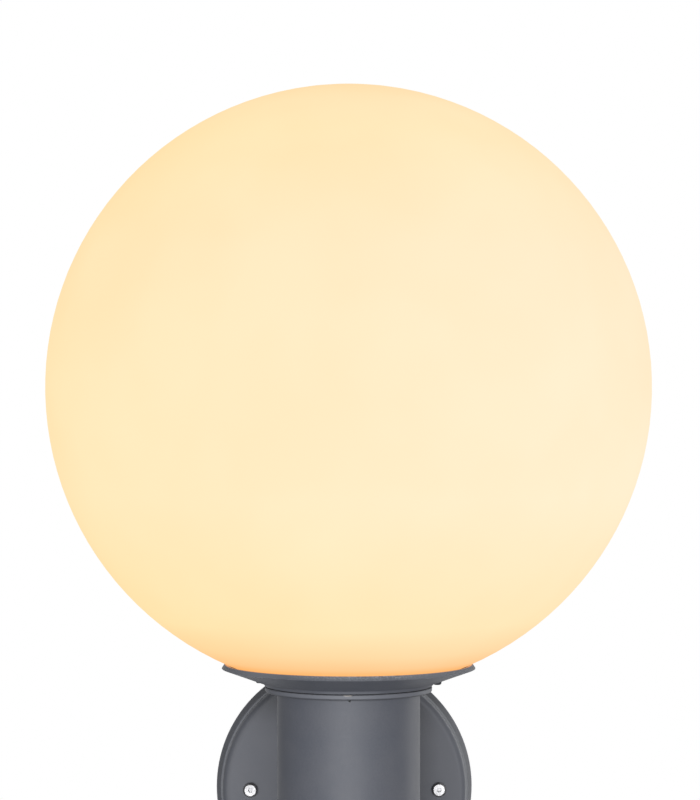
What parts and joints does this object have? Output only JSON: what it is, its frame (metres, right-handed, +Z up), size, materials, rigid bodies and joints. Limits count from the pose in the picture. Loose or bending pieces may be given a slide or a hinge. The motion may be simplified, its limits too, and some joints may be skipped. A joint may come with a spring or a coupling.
{
  "type": "outdoor globe wall light",
  "caption": "Outdoor wall light: opal globe in a shallow cast gallery on a short column, held by a horizontal arm and a round wall plate.",
  "frame": {"origin": "on the wall plane at the centre of the wall bracket's two slots, which is also the arm axis and the centre of the wall plate", "axes": "+Z up, -Y out from the wall towards the viewer, +X to the right seen from the front"},
  "size_m": [0.3, 0.3149, 0.443],
  "materials": {
    "opal": "opal, satin gloss, lit from inside",
    "powder_coat": "anthracite powder coat, fine texture",
    "stainless": "plain stainless",
    "zinc_steel": "zinc plated",
    "brass": "turned brass",
    "epdm": "matt black",
    "porcelain": "white glazed porcelain",
    "terminal_plastic": "natural polyamide",
    "lamp_metal": "nickel plated",
    "lamp_insulation": "black vitrite",
    "lamp_plastic": "white satin",
    "lamp_diffuser": "frosted",
    "wire_brown": "brown insulation",
    "wire_blue": "blue insulation",
    "wire_green": "green and yellow insulation"
  },
  "bodies": {
    "mounting": {"globe_seal": "epdm", "gallery": "powder_coat", "foot_gasket": "epdm", "spigot_screws": "stainless", "column": "powder_coat", "column_cap": "powder_coat", "cap_screws": "stainless", "arm": "powder_coat", "arm_set_screws": "stainless", "wall_plate": "powder_coat", "wall_gasket": "epdm", "plate_screws": "stainless", "wall_bracket": "zinc_steel", "bracket_bushes": "zinc_steel", "cable_grommet": "epdm", "earth_screw": "brass", "earth_washer": "brass", "terminal_block": "terminal_plastic", "terminal_sleeves": "brass", "terminal_screws": "stainless", "block_screw": "stainless", "holder_bracket": "zinc_steel", "bracket_screws": "stainless", "holder_nipple": "zinc_steel", "holder_nut": "zinc_steel", "lampholder": "porcelain", "thread_shell": "brass", "centre_contact": "brass", "earth_lug": "brass", "live_wire": "wire_brown", "neutral_wire": "wire_blue", "earth_wire": "wire_green"},
    "globe": {"globe": "opal", "globe_inserts": "brass"},
    "lock_screw_left": {"lock_screw_left": "stainless"},
    "lock_screw_right": {"lock_screw_right": "stainless"},
    "lamp": {"lamp_tip": "lamp_metal", "lamp_insulator": "lamp_insulation", "lamp_cap": "lamp_metal", "lamp_body": "lamp_plastic", "lamp_dome": "lamp_diffuser"}
  },
  "joints": [
    {"name": "globe_lift", "type": "slide", "parent": "mounting", "child": "globe", "axis": [0, 0, 1], "range_m": [0, 0.155]},
    {"name": "lock_screw_left_turn", "type": "hinge", "parent": "mounting", "child": "lock_screw_left", "pos_m": [-0.0441, -0.165, 0.076], "axis": [0, 0, -1], "range_deg": [0, 1800]},
    {"name": "lock_screw_right_turn", "type": "hinge", "parent": "mounting", "child": "lock_screw_right", "pos_m": [0.0441, -0.165, 0.076], "axis": [0, 0, -1], "range_deg": [0, 1800]},
    {"name": "lamp_turn", "type": "hinge", "parent": "mounting", "child": "lamp", "pos_m": [0, -0.165, 0.12], "axis": [0, 0, 1], "range_deg": [0, 1440]}
  ]
}
